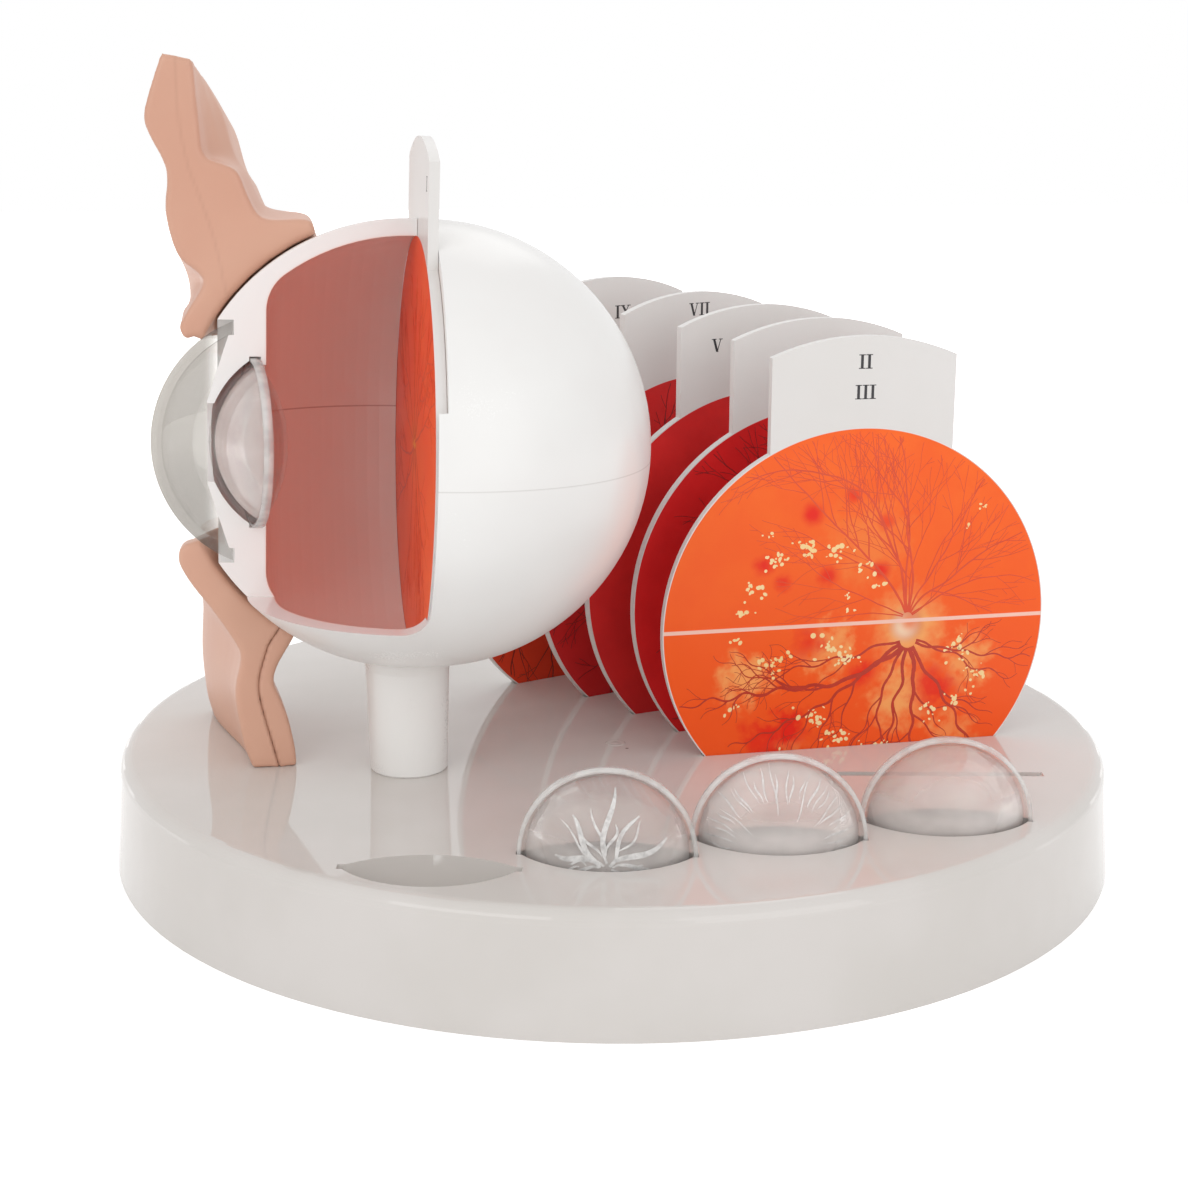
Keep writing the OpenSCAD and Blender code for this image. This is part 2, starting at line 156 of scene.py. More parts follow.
def noise(tree, place, scale, detail=2.0):
    """A cloudy value from 0 to 1 with the given number of clouds per unit of place."""
    node = add(tree, "ShaderNodeTexNoise")
    return fill(tree, node, Vector=place, Scale=scale, Detail=detail).outputs["Fac"]


def paint(red, green, blue):
    """Screen values from 0 to 255 as the linear colour that shaders use."""
    def linear(value):
        value /= 255
        return value / 12.92 if value <= 0.04045 else ((value + 0.055) / 1.055) ** 2.4
    return (linear(red), linear(green), linear(blue), 1.0)


# %% Node groups and places
def new_group(kind, name, inputs, outputs):
    """Start a node group with named sockets; returns its tree, what it is given and its end."""
    tree = bpy.data.node_groups.new(name, kind + "NodeTree")
    for way, sockets in (("INPUT", inputs), ("OUTPUT", outputs)):
        for label, sort, *start in sockets:
            socket = tree.interface.new_socket(label, in_out=way, socket_type="NodeSocket" + sort)
            if start:
                socket.default_value = start[0]
    return tree, add(tree, "NodeGroupInput").outputs, add(tree, "NodeGroupOutput")


def use_group(tree, group, **values):
    """Place a node group in a material and feed its named inputs; returns its outputs."""
    return fill(tree, add(tree, "ShaderNodeGroup", node_tree=group), **values).outputs


def object_place(tree):
    """Object coordinates in metres."""
    return add(tree, "ShaderNodeTexCoord").outputs["Object"]


def own_place(tree, centre, turn):
    """Object coordinates in millimetres, counted from a piece's centre along its own axes."""
    return add(tree, "ShaderNodeMapping", object_place(tree), centre, turn, (MM, MM, MM),
               vector_type="TEXTURE").outputs[0]


# %% [markdown]
# Moulded plastic
# Polished moulds never leave a perfect mirror. The skin has a faint ripple a few millimetres
# long, a much finer grain, and patches that shine a little more or less. One node group makes
# all three, and every moulded piece uses it with its own numbers.

# %% Moulded plastic group
skin_group, given, result = new_group(
    "Shader", "moulded_skin",
    [("Place", "Vector"), ("Grain", "Float", 900.0), ("Shine", "Float", 0.3),
     ("Patches", "Float", 0.08)],
    [("Tone", "Float"), ("Roughness", "Float"), ("Height", "Float")])
slow = noise(skin_group, given["Place"], 26.0, 3.0)
ripple = noise(skin_group, given["Place"], 190.0, 1.0)
grain = noise(skin_group, given["Place"], given["Grain"], 3.0)
patch = calc(skin_group, "MULTIPLY_ADD", calc(skin_group, "SUBTRACT", slow, 0.5),
             given["Patches"], given["Shine"])
grainy = calc(skin_group, "MULTIPLY", calc(skin_group, "SUBTRACT", grain, 0.5), 0.02)
fill(skin_group, result, Tone=spread(skin_group, slow, 0.3, 0.7),
     Roughness=calc(skin_group, "ADD", patch, grainy),
     Height=calc(skin_group, "MULTIPLY_ADD", grain, 0.25, ripple))


RIPPLE_HEIGHT = 0.0006


class Finish:
    """A material with its Principled BSDF, its place socket and the shared moulded skin."""

    def __init__(self, name, light, dark, shine, grain=2200.0, bump=0.05):
        self.material = bpy.data.materials.new(name)
        self.material.use_nodes = True
        self.tree = self.material.node_tree
        self.shader = self.tree.nodes["Principled BSDF"]
        self.object_place = object_place(self.tree)
        skin = use_group(self.tree, skin_group, Place=self.object_place, Grain=grain, Shine=shine)
        self.height = skin["Height"]
        self.bump = bump
        self.set("Roughness", skin["Roughness"])
        self.colour = tint(self.tree, skin["Tone"], paint(*dark), paint(*light))
        self.set("Base Color", self.colour)
        self.raise_by(self.height)

    def set(self, label, value):
        feed(self.tree, self.shader.inputs[label], value)

    def raise_by(self, height):
        """Use a height, in skin ripples, for the surface normal."""
        node = fill(self.tree, add(self.tree, "ShaderNodeBump"), Strength=self.bump,
                    Distance=RIPPLE_HEIGHT, Height=height)
        self.set("Normal", node.outputs["Normal"])

    def dress(self, *names):
        for name in names:
            nodes[name].material_slots[0].material = self.material


print("group:", skin_group.name, "with", len(skin_group.nodes), "nodes")

# %% [markdown]
# Stand
# The stand is off-white gloss plastic. Its deck mirrors the lids, the stem and the lenses. The
# only marks on it are a tiny pit, a dip in the bump with painted shade in its colour, and the
# round scar where the plastic was fed into the mould.

# %% Stand finish
stand = Finish("stand_gloss", (219, 214, 210), (214, 209, 204), 0.045, bump=0.003)
PIT = (0.0002, -0.0225, 0.032)
PIT_EDGE = (0.0007, 0.0003)
pit_dip_and_shade = spread(stand.tree, measure(stand.tree, "DISTANCE", stand.object_place, PIT), *PIT_EDGE)
# The pit's dark colour is painted shade for the shadow inside the tiny hollow
stand.set("Base Color", tint(stand.tree, pit_dip_and_shade, stand.colour, paint(150, 143, 138)))
stand.raise_by(calc(stand.tree, "SUBTRACT", stand.height, calc(stand.tree, "MULTIPLY", pit_dip_and_shade, 3.0)))
stand.dress("base_shell")

plate = Finish("plate_matte", (206, 205, 201), (198, 196, 192), 0.6, 1500.0, 0.2)
plate.dress("base_plate")

stem = Finish("stem_gloss", (241, 239, 236), (238, 235, 232), 0.28, bump=0.008)
stem.dress("stem")
print("stand, plate and stem dressed")

# %% [markdown]
# Screws
# The hidden screws are plain steel. Turning leaves fine rings round their axis, so the noise
# is stretched along Z and squeezed across it.

# %% Steel finish
steel = Finish("turned_steel", (196, 196, 198), (170, 171, 174), 0.34, 2500.0, 0.1)
steel.set("Metallic", 1.0)
squeezed = add(steel.tree, "ShaderNodeMapping", steel.object_place, (0, 0, 0), (0, 0, 0),
               (400, 400, 3000)).outputs[0]
steel.raise_by(noise(steel.tree, squeezed, 1.0, 3.0))
steel.dress("base_screws", "stem_bolt")
print("screws and bolt dressed")

# %% [markdown]
# Eyeball
# The ball is glossy white outside and dusty pink inside. The two colours meet where the hollow
# begins, so the material must know how far a point lies from the hollow. A group measures that
# from the round shapes that the hollow was cut with. The groove for the card is pink too, and
# it is cut deeper on the far side. Two level lines show where the halves are parted.

# %% Hollow group
EYE_PLACE = (-0.0565, -0.0296, 0.1235)
EYE_TURN = (0.0, math.radians(-2), math.pi)
HOLLOW_RADIUS = 55.5
BALL_STRETCH = 5.5
FRONT_WALL = 43.3
CORNER = 12.0
corner_u = FRONT_WALL - CORNER
corner_r = math.sqrt((HOLLOW_RADIUS - CORNER) ** 2 - (corner_u - BALL_STRETCH) ** 2)

hollow_group, given, result = new_group(
    "Shader", "hollow_depth", [("Place", "Vector")],
    [("Depth", "Float"), ("Forward", "Float"), ("Rise", "Float"), ("Near", "Float")])


def hollow(operation, *values):
    return calc(hollow_group, operation, *values)


def long_side(first, second):
    """Length of the long side of a right triangle."""
    squares = [hollow("POWER", hollow("ABSOLUTE", side), 2.0) for side in (first, second)]
    return hollow("SQRT", hollow("ADD", *squares))


axes = split(hollow_group, given["Place"])
radius = long_side(axes["Y"], axes["Z"])
held = hollow("MINIMUM", hollow("MAXIMUM", axes["X"], 0.0), BALL_STRETCH)
ball = hollow("SUBTRACT", long_side(hollow("SUBTRACT", axes["X"], held), radius), HOLLOW_RADIUS)
plain = hollow("MAXIMUM", ball, hollow("SUBTRACT", axes["X"], FRONT_WALL))
rounded = hollow("SUBTRACT", long_side(hollow("SUBTRACT", radius, corner_r),
                                       hollow("SUBTRACT", axes["X"], corner_u)), CORNER)
steep = hollow("GREATER_THAN", hollow("SUBTRACT", axes["X"], BALL_STRETCH),
               hollow("MULTIPLY", radius, (corner_u - BALL_STRETCH) / corner_r))
in_corner = hollow("MULTIPLY", steep, hollow("GREATER_THAN", radius, corner_r))
depth = hollow("MULTIPLY_ADD", in_corner, hollow("SUBTRACT", rounded, plain), plain)
fill(hollow_group, result, Depth=depth, Forward=axes["X"], Rise=axes["Z"], Near=axes["Y"])
print("corner ring radius:", round(corner_r, 2), "mm")

# %% Eyeball finish
OUTER_SEAM = -1.5
INNER_SEAM = 2.0
SLOT_MIDDLE = 2.65
SLOT_HALF = 1.55
SLOT_DEPTH = 1.9
FAR_SLOT_DEPTH = 4.2
LINING_DEPTH = 0.15
SKIN_DEPTH = 3.5

eyeball = Finish("eyeball_gloss", (244, 243, 241), (241, 239, 237), 0.26, bump=0.008)
tree = eyeball.tree
eye_place = own_place(tree, EYE_PLACE, EYE_TURN)
eye = use_group(tree, hollow_group, Place=eye_place)
in_slot = calc(tree, "LESS_THAN", apart(tree, eye["Forward"], SLOT_MIDDLE), SLOT_HALF)
far_side = calc(tree, "LESS_THAN", eye["Near"], 0.0)
slot_depth = calc(tree, "MULTIPLY_ADD", far_side, FAR_SLOT_DEPTH - SLOT_DEPTH, SLOT_DEPTH)
edge = calc(tree, "MULTIPLY_ADD", in_slot, slot_depth, LINING_DEPTH)
lining = calc(tree, "LESS_THAN", eye["Depth"], edge)
rim = spread(tree, eye["Depth"], 0.8, 0.0, 0.0, 0.25)
outside = calc(tree, "GREATER_THAN", eye["Depth"], SKIN_DEPTH)


def seam_line(height, width):
    """A thin level line at one height of the eyeball, in millimetres."""
    return spread(tree, apart(tree, eye["Rise"], height), width, width * 0.3)


# The pink is greyer toward the back of the hollow and richer toward the front: painted light
pink = tint(tree, spread(tree, eye["Forward"], 0.0, 42.0), paint(234, 222, 216),
            paint(238, 211, 200))
pink = tint(tree, calc(tree, "MULTIPLY", noise(tree, eye_place, 0.09, 4.0), 0.35), pink,
            paint(230, 206, 198))
inner_line = calc(tree, "MULTIPLY", seam_line(INNER_SEAM, 0.3), 0.5)
pink = tint(tree, inner_line, pink, paint(150, 90, 80))
outer_line = calc(tree, "MULTIPLY", seam_line(OUTER_SEAM, 0.25), outside)
white = tint(tree, rim, eyeball.colour, paint(238, 205, 194))
white = tint(tree, calc(tree, "MULTIPLY", outer_line, 0.35), white, paint(190, 184, 180))
eyeball.set("Base Color", tint(tree, lining, white, pink))
eyeball.raise_by(calc(tree, "SUBTRACT", eyeball.height, outer_line))
eyeball.dress("eye_shell_lower", "eye_shell_upper")
print("eyeball dressed, seams at", OUTER_SEAM, "and", INNER_SEAM, "mm")

# %% [markdown]
# Clear plastic
# The cornea and the lenses are clear acrylic. Glass alone gives black edges and black shadows
# here, so a share of every ray goes straight through a Transparent shader. Light on its way
# from a lamp or from a matte surface always does, chosen by a Light Path node. For the camera,
# the cornea's dome lets that share through a grey tint, which is painted shade. The glass keeps
# plain numbers for its transmission, its bending of light and its colour.

# %% Clear finish
STRAIGHT_SHARE = 0.8
FOOT_TO_DOME = (54, 60)


def clear_plastic(name, straight, shine, edge_straight=None):
    """Clear acrylic; a share of each ray goes straight on in a tint, and all light rays do."""
    material = bpy.data.materials.new(name)
    material.use_nodes = True
    tree = material.node_tree
    shader = tree.nodes["Principled BSDF"]
    skin = use_group(tree, skin_group, Place=object_place(tree), Shine=shine, Patches=0.02)
    fill(tree, shader, Transmission_Weight=1.0, IOR=1.45, Base_Color=(0.98, 0.985, 0.985, 1),
         Roughness=calc(tree, "MAXIMUM", skin["Roughness"], 0.0))
    if edge_straight:
        # The dome is seen through a darker tint, painted shade, and the thick foot toward the seat
        # is paler
        forward = use_group(tree, hollow_group, Place=own_place(tree, EYE_PLACE, EYE_TURN))
        dome_part = spread(tree, forward["Forward"], *FOOT_TO_DOME)
        straight = tint(tree, dome_part, edge_straight, straight)
    path = add(tree, "ShaderNodeLightPath").outputs
    light_ray = calc(tree, "MAXIMUM", path["Is Shadow Ray"], path["Is Diffuse Ray"])
    passing = add(tree, "ShaderNodeBsdfTransparent",
                  tint(tree, light_ray, straight, (0.97, 0.97, 0.97, 1)))
    both = add(tree, "ShaderNodeMixShader", calc(tree, "MAXIMUM", light_ray, STRAIGHT_SHARE),
               shader.outputs["BSDF"], passing.outputs["BSDF"])
    feed(tree, tree.nodes["Material Output"].inputs["Surface"], both.outputs["Shader"])
    return material


# The cornea's grey tint for rays seen straight through is painted shade; lamp light passes at 0.97
cornea_clear = clear_plastic("cornea_acrylic", (0.56, 0.54, 0.515, 1), 0.02, (0.9, 0.89, 0.88, 1))
lens_clear = clear_plastic("lens_acrylic", (0.985, 0.98, 0.975, 1), 0.02)
nodes["cornea"].material_slots[0].material = cornea_clear
clear_nodes = [name for name in nodes if "lens_" in name]
for name in clear_nodes:
    nodes[name].material_slots[0].material = lens_clear
print("clear pieces:", 1 + len(clear_nodes))

# %% [markdown]
# Eyelids
# The lids are cast in soft moulds, so their edges are round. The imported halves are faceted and
# sharp. Each is rebuilt from even cells with a Remesh modifier and then smoothed by moving
# every point toward its neighbours. Points of the lower lid's halves that lie near the joint
# move little, which keeps it tight. The upper lid's joint is only a faint line, so its halves
# are rebuilt as one piece. An attribute marks the joint, so the material can darken it.

# %% Eyelid finish
lid = Finish("lid_skin", (218, 170, 146), (212, 161, 137), 0.42, 1800.0, 0.03)
joint = add(lid.tree, "ShaderNodeAttribute", attribute_name="joint").outputs["Fac"]
lid.set("Base Color", tint(lid.tree, calc(lid.tree, "MULTIPLY", joint, 0.7), lid.colour,
                           paint(120, 72, 52)))

# %% Soft copies of the lids
CELL = 0.7 * MM
SOFT_REACH = (0.35 * MM, 2.2 * MM)
LEAST_SHARE = 0.04
SMOOTH_PASSES = 4
SMOOTH_PULL = 0.6
JOINT_WIDTH = 0.6 * MM


@contextmanager
def opened(mesh):
    """Open a mesh for work and write the result back to it."""
    work = bmesh.new()
    work.from_mesh(mesh)
    yield work
    work.to_mesh(mesh)
    work.free()


def merged(node):
    """A copy of a node's mesh with its loose triangles joined."""
    mesh = nodes[node].data.copy()
    with opened(mesh) as work:
        bmesh.ops.remove_doubles(work, verts=work.verts, dist=1e-6)
    return mesh


def baked(piece):
    """The piece's mesh after its modifiers, with the modifiers removed."""
    graph = bpy.context.evaluated_depsgraph_get()
    mesh = bpy.data.meshes.new_from_object(piece.evaluated_get(graph))
    piece.modifiers.clear()
    return mesh


def new_piece(name, mesh):
    """A new object at the origin that holds the mesh."""
    piece = bpy.data.objects.new(name, mesh)
    bpy.context.collection.objects.link(piece)
    return piece


def soften(mesh, share):
    """Move every point toward its neighbours, by its own share; returns the new points."""
    points = np.array([v.co for v in mesh.vertices], float)
    a, b = np.array([e.vertices for e in mesh.edges]).T
    count = np.bincount(np.concatenate([a, b]), minlength=len(points))
    for _ in range(SMOOTH_PASSES):
        pull = np.empty_like(points)
        for axis in range(3):
            total = np.bincount(a, points[b, axis], len(points))
            total += np.bincount(b, points[a, axis], len(points))
            pull[:, axis] = total / count - points[:, axis]
        points += SMOOTH_PULL * share[:, None] * pull
    return points


def tree_of(mesh):
    """A search tree that finds the nearest place on a mesh."""
    return BVHTree.FromPolygons([v.co for v in mesh.vertices],
                                [tuple(p.vertices) for p in mesh.polygons])


def gaps(points, search):
    """Each point's distance to the nearest place on a mesh."""
    return np.array([search.find_nearest(Vector(p))[3] for p in points])


def remeshed(name, *meshes):
    """A new piece that holds meshes rebuilt from even cells as one."""
    whole = bpy.data.meshes.new(name)
    with opened(whole) as work:
        for mesh in meshes:
            work.from_mesh(mesh)
    piece = new_piece(name, whole)
    cells = piece.modifiers.new("cells", "REMESH")
    cells.mode = "VOXEL"
    cells.voxel_size = CELL
    cells.use_smooth_shade = True
    piece.data = baked(piece)
    return piece


def finish_lid(piece, points, gap, darkness, *halves):
    """Store a soft lid's points and joint, and let it stand for its packed halves."""
    mesh = piece.data
    mesh.vertices.foreach_set("co", points.ravel())
    near = mesh.attributes.new("joint", "FLOAT", "POINT")
    near.data.foreach_set("value", darkness * np.clip(1 - gap / JOINT_WIDTH, 0, 1))
    mesh.update()
    mesh.materials.clear()
    mesh.materials.append(lid.material)
    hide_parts(*halves)
    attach(piece, "stand")
    print(piece.name, len(mesh.polygons), "faces")


# %% Lower lid in two halves
def soft_half(node, other, darkness):
    """The softened copy of one lid half, on its own old surface near the other half."""
    own = merged(node)
    piece = remeshed(node + "_soft", own)
    gap = gaps([v.co for v in piece.data.vertices], tree_of(merged(other)))
    share = np.clip((gap - SOFT_REACH[0]) / (SOFT_REACH[1] - SOFT_REACH[0]), LEAST_SHARE, 1)
    points = soften(piece.data, share)
    search = tree_of(own)
    crisp = np.array([search.find_nearest(Vector(p))[0] for p in points])
    points = crisp + share[:, None] * (points - crisp)
    finish_lid(piece, points, gap, darkness, node)


soft_half("lower_lid_front", "lower_lid_back", 0.7)
soft_half("lower_lid_back", "lower_lid_front", 0.7)


# %% Upper lid as one piece
def soft_whole(lid_name, darkness):
    """One softened copy for both halves, marked where both of them are near."""
    nodes_of_lid = [lid_name + "_front", lid_name + "_back"]
    halves = [merged(node) for node in nodes_of_lid]
    piece = remeshed(lid_name + "_soft", *halves)
    points = soften(piece.data, np.ones(len(piece.data.vertices)))
    gap = np.max([gaps(points, tree_of(half)) for half in halves], axis=0)
    finish_lid(piece, points, gap, darkness, *nodes_of_lid)


soft_whole("upper_lid", 0.14)

# %% [markdown]
# Where prints lie
# Every card and lens has its own frame: across, up and out of the printed side. Prints are
# drawn flat in that frame in millimetres, and one matrix then carries them onto the piece.

# %% Frames of cards and lenses
DECK = 32.0
CARD_HALF = 1.35
CARD_PLACES = {"card_1": (65, -29.3, 68, 2.8), "card_2": (60, -0.6, 69.8, 10.1),
               "card_3": (48.2, 22.7, 71.4, 16.3), "card_4": (34.1, 46.6, 73, 23),
               "card_5": (10.9, 63.8, 76.2, 23.7)}
LENS_PLACES = {"lens_1": (-20.7, -103.7, DECK, -12), "lens_2": (24.3, -100.2, DECK, -10),
               "lens_3": (70.8, -94.5, DECK, -9)}


def standing_frame(x, y, z, turn):
    """Frame of a piece that stands in the deck and faces the viewer, turned about Z."""
    upright = Matrix.Rotation(math.radians(turn), 4, "Z") @ Matrix.Rotation(math.pi / 2, 4, "X")
    return Matrix.Translation(Vector((x, y, z)) * MM) @ upright


frames = {name: standing_frame(*place)
          for name, place in {**CARD_PLACES, **LENS_PLACES}.items()}
eye_axes = Euler(EYE_TURN).to_matrix().to_4x4()
# In the eye, the card's across axis is the ball's Y, its up axis is Z and it faces forward
card_axes = Matrix(((0, 0, 1, 0), (1, 0, 0, 0), (0, 1, 0, 0), (0, 0, 0, 1)))
CARD_IN_EYE = (2.65, 0, -1.5)
LENS_IN_EYE = (46.2, 0, 0)
LENS_TURN = Matrix.Rotation(math.radians(8), 4, "Y")
for name, place in (("eye_card", CARD_IN_EYE), ("eye_lens", LENS_IN_EYE)):
    frames[name] = (Matrix.Translation(EYE_PLACE) @ eye_axes
                    @ Matrix.Translation(Vector(place) * MM) @ card_axes)
# The lens sits with its near side turned a little back
frames["eye_lens"] = frames["eye_lens"] @ LENS_TURN
for name in [*CARD_PLACES, "eye_card"]:
    lo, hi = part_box(name)
    across = frames[name].inverted() @ ((lo + hi) / 2) / MM
    print(name, "centre is off by", round(across.x, 2), "across and", round(across.z, 2), "out")

# %% [markdown]
# Printed cards
# Each card is a white plastic plate with a glossy print of the back of an eye. The print fills
# the round part of one face and leaves a hair of white at the rim. On most cards the ground is
# lighter toward the top, which is painted light, and it is clouded by pigment. One group finds
# the printed area and the clouds, and another makes the soft pale or red patches.

# %% Print groups
print_group, given, result = new_group(
    "Shader", "print_area", [("Place", "Vector"), ("Radius", "Float", 56.9)],
    [("Printed", "Float"), ("Rise", "Float"), ("Clouds", "Float"), ("Speckle", "Float")])
axes = split(print_group, given["Place"])
flat = joined(print_group, axes["X"], axes["Y"])
outer = calc(print_group, "SUBTRACT", measure(print_group, "LENGTH", flat), given["Radius"])
on_face = calc(print_group, "GREATER_THAN", axes["Z"], CARD_HALF - 0.2)
inside = spread(print_group, outer, 0.1, -0.1)
fill(print_group, result, Printed=calc(print_group, "MULTIPLY", on_face, inside),
     Rise=spread(print_group, axes["Y"], -56.0, 56.0),
     Clouds=spread(print_group, noise(print_group, flat, 0.07, 5.0), 0.35, 0.68),
     Speckle=noise(print_group, flat, 1.6, 2.0))

spot_group, given, result = new_group(
    "Shader", "soft_spot",
    [("Place", "Vector"), ("Centre", "Vector"), ("Size", "Float", 5.0), ("Ragged", "Float", 0.5)],
    [("Mask", "Float")])
gap = measure(spot_group, "DISTANCE", given["Place"], given["Centre"])
torn = calc(spot_group, "SUBTRACT", noise(spot_group, given["Place"], 0.3, 4.0), 0.5)
part = calc(spot_group, "DIVIDE", gap, given["Size"])
worn = calc(spot_group, "MULTIPLY_ADD", calc(spot_group, "MULTIPLY", torn, 2.5),
            given["Ragged"], part)
fill(spot_group, result, Mask=spread(spot_group, worn, 1.0, 0.1))
print("groups:", print_group.name, "and", spot_group.name)


# %% Card finish
def card_finish(node, top, bottom, cloud, spots=(), stripe=None):
    """Dress one card: white plastic with its printed disc."""
    card = Finish(node + "_print", (232, 229, 227), (229, 226, 223), 0.34, bump=0.01)
    card.set("Specular IOR Level", PRINT_GLOSS)
    tree = card.tree
    place = own_place(tree, frames[node].translation, frames[node].to_euler())
    area = use_group(tree, print_group, Place=place)
    # Lighter toward the top on most cards: painted light on their upper edges
    ground = tint(tree, area["Rise"], paint(*bottom), paint(*top))
    ground = tint(tree, calc(tree, "MULTIPLY", area["Clouds"], 0.55), ground, paint(*cloud))
    ground = tint(tree, spread(tree, area["Speckle"], 0.3, 0.75, 0.0, 0.12), ground,
                  paint(*cloud))
    for x, y, size, ragged, strength, colour in spots:
        mask = use_group(tree, spot_group, Place=place, Centre=(x, y, CARD_HALF), Size=size,
                         Ragged=ragged)["Mask"]
        ground = tint(tree, calc(tree, "MULTIPLY", mask, strength), ground, paint(*colour))
    if stripe:
        height, half = stripe
        line = spread(tree, apart(tree, split(tree, place)["Y"], height), half, half * 0.7)
        ground = tint(tree, line, ground, paint(252, 205, 188))
    card.set("Base Color", tint(tree, area["Printed"], card.colour, ground))
    card.dress(node)


PRINT_GLOSS = 0.3
CREAM = (255, 214, 130)
BLOOD = (238, 34, 12)
STRIPE = (0.65, 0.65)
card_finish("card_1", (255, 108, 30), (248, 84, 22), (250, 92, 26), [
    (16, -2, 15, 0.3, 0.55, CREAM), (-33, -14, 11, 0.6, 0.5, CREAM), (-8, -6, 11, 0.8, 0.4, CREAM),
    (34, -12, 11, 0.7, 0.4, CREAM), (3, 24, 17, 0.4, 0.4, (250, 158, 78)),
    (14, -22, 13, 0.5, 0.5, CREAM), (-20, -36, 8, 0.8, 0.3, CREAM), (30, -33, 9, 0.8, 0.3, CREAM),
    (-14, 33, 4.6, 0.2, 1, BLOOD), (-28, 19, 4.4, 0.3, 1, BLOOD), (7, 16, 4, 0.3, 1, BLOOD),
    (-9, 15, 4.4, 0.4, 0.9, BLOOD), (-2, 38, 3.4, 0.3, 0.8, BLOOD), (-20, -30, 9, 0.7, 1, BLOOD),
    (24, -20, 9, 0.7, 0.9, BLOOD), (-28, -33, 9, 0.7, 0.8, BLOOD), (2, -14, 6, 0.6, 0.9, BLOOD),
    (-14, -4, 7, 0.6, 0.8, BLOOD), (8, 30, 3.6, 0.4, 0.7, BLOOD), (-22, 14, 3.6, 0.4, 0.8, BLOOD),
    (15.5, -0.5, 8.4, 0.0, 0.8, (248, 178, 112)), (15.5, -0.5, 6.6, 0.0, 1, (206, 82, 58)),
    (14.9, -1.1, 5.6, 0.0, 1, (255, 228, 196)), (16.2, 0.3, 4.2, 0.0, 0.9, (240, 132, 84))], STRIPE)
card_finish("card_2", (226, 32, 34), (230, 34, 36), (208, 24, 28),
            [(12, 2, 7, 0.1, 0.6, (226, 120, 80)), (-16, 2, 10, 0.4, 0.5, (128, 16, 22))])
card_finish("card_3", (234, 46, 46), (224, 42, 42), (208, 36, 38),
            [(14, 3, 6, 0.1, 0.6, (230, 130, 90)), (-12, 0, 9, 0.4, 0.5, (120, 14, 22))])
card_finish("card_4", (236, 48, 48), (218, 40, 42), (210, 38, 40),
            [(-12, 2, 6.5, 0.1, 0.6, (226, 124, 84)), (14, 0, 9, 0.4, 0.5, (120, 14, 22))])
card_finish("card_5", (246, 84, 40), (226, 64, 34), (234, 68, 36),
            [(-13, 2, 6.5, 0.1, 0.7, (240, 170, 110)), (10, 14, 6, 0.8, 0.6, (122, 26, 18))])
card_finish("eye_card", (255, 78, 34), (252, 94, 40), (255, 104, 44),
            [(2, 2, 5, 0.2, 0.9, (255, 190, 60)), (2, 2, 14, 0.4, 0.4, (240, 140, 70))])
print("cards dressed")

# %% [markdown]
# Drawn lines
# Blood vessels on the cards and the milky streaks in the lenses are all lines whose width
# changes along them. Each line is kept as a chain of points with a half_width attribute. One
# Geometry Nodes tree turns the chains into curves, sweeps a thin flat bar along them, and
# scales the bar by that width. The result is baked to a mesh, so nothing is left live.

# %% Line tree
def finish_tree(tree, given, result, geometry):
    """End a tree in Realize Instances and Set Material."""
    real = add(tree, "GeometryNodeRealizeInstances", geometry).outputs[0]
    dressed = fill(tree, add(tree, "GeometryNodeSetMaterial", real), Material=given["Material"])
    fill(tree, result, Geometry=dressed.outputs[0])


line_tree, given, result = new_group(
    "Geometry", "drawn_lines",
    [("Geometry", "Geometry"), ("Thickness", "Float"), ("Material", "Material")],
    [("Geometry", "Geometry")])
curves = add(line_tree, "GeometryNodeMeshToCurve", given["Geometry"]).outputs[0]
level = add(line_tree, "GeometryNodeSetCurveNormal", curves, mode="Z_UP").outputs[0]
bar = fill(line_tree, add(line_tree, "GeometryNodeCurvePrimitiveQuadrilateral", mode="RECTANGLE"),
           Width=2.0, Height=1.0)
width = add(line_tree, "GeometryNodeInputNamedAttribute", "half_width", data_type="FLOAT")
swept = fill(line_tree, add(line_tree, "GeometryNodeCurveToMesh"), Curve=level,
             Profile_Curve=bar.outputs[0], Scale=width.outputs["Attribute"], Fill_Caps=True)
# The bar's height was scaled with its width: flatten every line to the same thickness
base = add(line_tree, "GeometryNodeInputNamedAttribute", "level",
           data_type="FLOAT").outputs["Attribute"]
here = split(line_tree, add(line_tree, "GeometryNodeInputPosition").outputs[0])
above = calc(line_tree, "GREATER_THAN", here["Z"], base)
top = calc(line_tree, "MULTIPLY_ADD", above, given["Thickness"], base)
pressed = fill(line_tree, add(line_tree, "GeometryNodeSetPosition"),
               Geometry=swept.outputs["Mesh"],
               Position=joined(line_tree, here["X"], here["Y"], top))
sharp = fill(line_tree, add(line_tree, "GeometryNodeSetShadeSmooth", pressed.outputs[0]),
             Shade_Smooth=False)
finish_tree(line_tree, given, result, sharp.outputs[0])
print("tree:", line_tree.name, "with", len(line_tree.nodes), "nodes")

# %% Dot tree
dot_tree, given, result = new_group(
    "Geometry", "printed_dots",
    [("Geometry", "Geometry"), ("Thickness", "Float"), ("Seed", "Int"), ("Material", "Material")],
    [("Geometry", "Geometry")])
drop = fill(dot_tree, add(dot_tree, "GeometryNodeMeshCylinder"), Vertices=9, Radius=1.0,
            Depth=1.0)
size = add(dot_tree, "GeometryNodeInputNamedAttribute", "half_width", data_type="FLOAT")


def chance(low, high, offset):
    """A random number per dot from the tree's own seed."""
    node = add(dot_tree, "FunctionNodeRandomValue", data_type="FLOAT")
    numbers = [s for s in node.inputs if s.type == "VALUE" and s.name in ("Min", "Max")]
    feed(dot_tree, numbers[0], low)
    feed(dot_tree, numbers[1], high)
    fill(dot_tree, node, Seed=calc(dot_tree, "ADD", given["Seed"], float(offset)))
    return next(s for s in node.outputs if s.type == "VALUE" and s.enabled)


